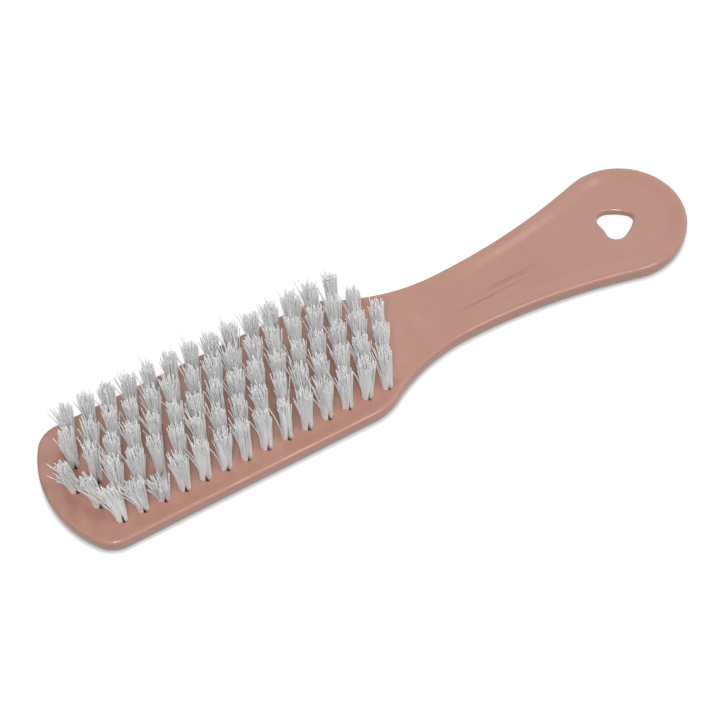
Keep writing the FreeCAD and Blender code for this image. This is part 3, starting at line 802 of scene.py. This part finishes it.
    # Girth: a core swells at half its height, and every tip narrows a little
    swell = calculate(tree, "MULTIPLY", calculate(tree, "MULTIPLY", along, left), given["Core girth"])
    swell = calculate(tree, "MULTIPLY", swell, read["filament_core"])
    swelled = calculate(tree, "MULTIPLY_ADD", swell, 4.0, 1.0)
    tip_share = calculate(tree, "POWER", along, TAPER_POWER)
    tapered = calculate(tree, "MULTIPLY_ADD", tip_share, -TIP_TAPER_SHARE, 1.0)
    section = add(tree, "GeometryNodeCurvePrimitiveCircle", inputs={
        "Resolution": FILAMENT_SIDES,
        "Radius": calculate(tree, "MULTIPLY", given["Filament diameter"], 0.5),
    })
    tubes = add(tree, "GeometryNodeCurveToMesh", inputs={
        "Curve": curves.outputs[0],
        "Profile Curve": section.outputs[0],
        "Scale": calculate(tree, "MULTIPLY", swelled, tapered),
        "Fill Caps": True,
    })
    rounded = add(tree, "GeometryNodeSetShadeSmooth", inputs={"Geometry": tubes.outputs[0]})
    solid = add(tree, "GeometryNodeRealizeInstances", inputs={"Geometry": rounded.outputs[0]})
    finished = add(tree, "GeometryNodeSetMaterial", inputs={
        "Geometry": solid.outputs[0],
        "Material": given["Finish"],
    })
    add(tree, "NodeGroupOutput", inputs={"Bristles": finished.outputs[0]})
    return tree


def make_bristles(places, material):
    """Draws the wear of every tuft, then grows the filaments of each column as one piece."""
    tree = bristle_tree()
    sockets = [item for item in tree.interface.items_tree if item.in_out == "INPUT"]
    identifiers = {socket.name: socket.identifier for socket in sockets}
    wear = random.Random(WEAR_SEED)
    margin = Vector((1.0, 1.0, 1.0)) * FILAMENT_DIAMETER * MM
    columns = {}
    for row, tufts in places.items():
        for number, (x, y) in enumerate(tufts):
            worn = WORN_TUFTS.get((row, number), {})
            lean_x = USUAL_LEAN_X + wear.uniform(-LEAN_RANGE, LEAN_RANGE)
            lean_y = wear.uniform(-LEAN_RANGE, LEAN_RANGE)
            lean = worn.get("lean", (lean_x, lean_y))
            spread = wear.uniform(*SPREAD_RANGE)
            splay = worn.get("splay", (spread, spread))
            height = worn.get("height", TUFT_HEIGHT - wear.uniform(0.0, HEIGHT_LOSS))
            columns.setdefault(round(x / COLUMN_STEP), []).append((x, y, lean, splay, height))
    for number, key in enumerate(sorted(columns), start=1):
        node = "bristle_column_%02d" % number
        tufts = columns[key]
        mesh = bpy.data.meshes.new(node + "_places")
        mesh.from_pydata([(x * MM, y * MM, MOUTH_Z * MM) for x, y, *rest in tufts], [], [])
        lean = [share for tuft in tufts for share in (tuft[2][0] * MM, tuft[2][1] * MM, 0.0)]
        mesh.attributes.new("lean", "FLOAT_VECTOR", "POINT").data.foreach_set("vector", lean)
        splay = [share for tuft in tufts for share in (tuft[3][0], tuft[3][1], 1.0)]
        mesh.attributes.new("splay", "FLOAT_VECTOR", "POINT").data.foreach_set("vector", splay)
        height = [tuft[4] * MM for tuft in tufts]
        mesh.attributes.new("height", "FLOAT", "POINT").data.foreach_set("value", height)
        holder = bpy.data.objects.new(node + "_places", mesh)
        bpy.context.scene.collection.objects.link(holder)
        modifier = holder.modifiers.new("bristles", "NODES")
        modifier.node_group = tree
        values = {
            "Filaments per tuft": FILAMENTS_PER_TUFT,
            "Cores per tuft": CORES_PER_TUFT,
            "Core girth": CORE_GIRTH,
            "Filament diameter": FILAMENT_DIAMETER * MM,
            "Bundle radius": BUNDLE_RADIUS * MM,
            "Split gap": SPLIT_GAP * MM,
            "Root depth": ROOT_DEPTH * MM,
            "Wander": WANDER * MM,
            "Uneven share": UNEVEN_SHARE,
            "Stray share": STRAY_SHARE,
            "Stray reach": STRAY_REACH * MM,
            "Low corner": list(cad_box[0] + margin),
            "High corner": list(cad_box[1] - margin),
            "Seed": number,
            "Finish": material,
        }
        for name, value in values.items():
            modifier[identifiers[name]] = value
        evaluated = holder.evaluated_get(bpy.context.evaluated_depsgraph_get())
        made = bpy.data.meshes.new_from_object(evaluated)
        made.name = node + "_filaments"
        bpy.data.objects.remove(holder)
        for attribute in [item.name for item in made.attributes if item.name.startswith("filament_")]:
            made.attributes.remove(made.attributes[attribute])
        new_piece("filaments_column_%02d" % number, made, material, [node])


# Camera, lights and floor

CAMERA_AZIMUTH = math.radians(-28.92)
CAMERA_ELEVATION = math.radians(54.71)
CAMERA_ROLL = math.radians(-2.16)
CAMERA_DISTANCE = 676.73
CAMERA_LOOK = (-5.774, -2.880, MOUTH_Z)
CAMERA_FOCAL_PIXELS = 2767.0
PHOTO_PIXELS = 720.0


def make_camera():
    data = bpy.data.cameras.new("camera")
    data.sensor_width = 36.0
    data.lens = data.sensor_width * CAMERA_FOCAL_PIXELS / PHOTO_PIXELS
    data.clip_start = 0.01
    camera = bpy.data.objects.new("camera", data)
    bpy.context.scene.collection.objects.link(camera)
    flat = math.cos(CAMERA_ELEVATION)
    back = Vector((
        math.sin(CAMERA_AZIMUTH) * flat,
        -math.cos(CAMERA_AZIMUTH) * flat,
        math.sin(CAMERA_ELEVATION),
    ))
    right = Vector((0.0, 0.0, 1.0)).cross(back).normalized()
    up = back.cross(right)
    turned = math.cos(CAMERA_ROLL) * right + math.sin(CAMERA_ROLL) * up
    raised = -math.sin(CAMERA_ROLL) * right + math.cos(CAMERA_ROLL) * up
    place = (Vector(CAMERA_LOOK) + back * CAMERA_DISTANCE) * MM
    turn = Matrix((turned, raised, back)).transposed().to_4x4()
    camera.matrix_world = Matrix.Translation(place) @ turn
    bpy.context.scene.camera = camera


def make_light(name, place, size, power):
    """A white panel that faces the origin: place and size in metres, power in watts."""
    data = bpy.data.lights.new(name, "AREA")
    data.shape = "RECTANGLE"
    data.size, data.size_y = size
    data.energy = power
    light = bpy.data.objects.new(name, data)
    bpy.context.scene.collection.objects.link(light)
    place = Vector(place)
    light.location = place
    light.rotation_euler = place.to_track_quat("Z", "Y").to_euler()


def background_seen(tree):
    """One where a ray shows the background: straight from the camera, mirrored or through glass."""
    paths = add(tree, "ShaderNodeLightPath").outputs
    mirrored_too = calculate(tree, "MAXIMUM", paths["Is Camera Ray"], paths["Is Glossy Ray"])
    return calculate(tree, "MAXIMUM", mirrored_too, paths["Is Transmission Ray"])


def make_stage():
    bpy.ops.mesh.primitive_plane_add(size=4.0, location=(0.0, 0.0, 0.0))
    floor = bpy.context.object
    floor.name = "floor"
    material, tree = new_material("pale_floor")
    # The floor's lift to white is darkened by ambient occlusion close to the brush: a painted contact
    # shadow, which the brush's lower edge also shows in its reflection
    painted_contact_shade = add(tree, "ShaderNodeAmbientOcclusion", {"samples": 8}, {"Distance": 1.3 * MM})
    open_floor = calculate(tree, "MULTIPLY", painted_contact_shade.outputs["AO"], 0.82)
    lift = calculate(tree, "MULTIPLY", background_seen(tree), open_floor)
    paint = add(tree, "ShaderNodeBsdfDiffuse", inputs={"Color": linear("#8E8E8E")})
    glow = add(tree, "ShaderNodeEmission", inputs={"Strength": lift})
    both = add(tree, "ShaderNodeAddShader", inputs={0: paint.outputs[0], 1: glow.outputs[0]})
    add(tree, "ShaderNodeOutputMaterial", inputs={"Surface": both.outputs[0]})
    floor.data.materials.append(material)

    world = bpy.data.worlds.new("studio")
    bpy.context.scene.world = world
    world.use_nodes = True
    sky = world.node_tree
    sky.nodes.clear()
    level = add(sky, "ShaderNodeMapRange", inputs={
        "Value": background_seen(sky),
        "To Min": 0.14,
        "To Max": 1.0,
    })
    light = add(sky, "ShaderNodeBackground", inputs={
        "Color": linear("#FFFFFF"),
        "Strength": level.outputs[0],
    })
    add(sky, "ShaderNodeOutputWorld", inputs={"Surface": light.outputs[0]})


bpy.context.scene.view_settings.view_transform = "Standard"
make_camera()
make_light("front_softbox", (-0.42, -0.77, 1.24), (0.35, 0.35), 17.0)
make_light("front_strip", (0.265, -0.43, 0.81), (0.3, 0.1), 2.2)
make_light("back_panel", (0.7, 0.53, 0.662), (1.6, 1.22), 2.5)
make_light("low_back_panel", (0.79, 0.6, 0.482), (1.6, 0.71), 1.4)
make_light("top_lamp", (0.43, 0.17, 0.885), (0.06, 0.06), 0.07)
make_stage()

places = tuft_places()
tufts = [place for row in places.values() for place in row]
body = new_piece("moulded_body", make_body_mesh(tufts), polypropylene(), ["brush_body"])
for polygon in body.data.polygons:
    polygon.use_smooth = True
body.data.set_sharp_from_angle(angle=SHARP_ANGLE)

make_bristles(places, nylon_filament())

steel = steel_strip()
for row in ROWS:
    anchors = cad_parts["anchors_%s_row" % row]
    anchors.data.materials.clear()
    anchors.data.materials.append(steel)
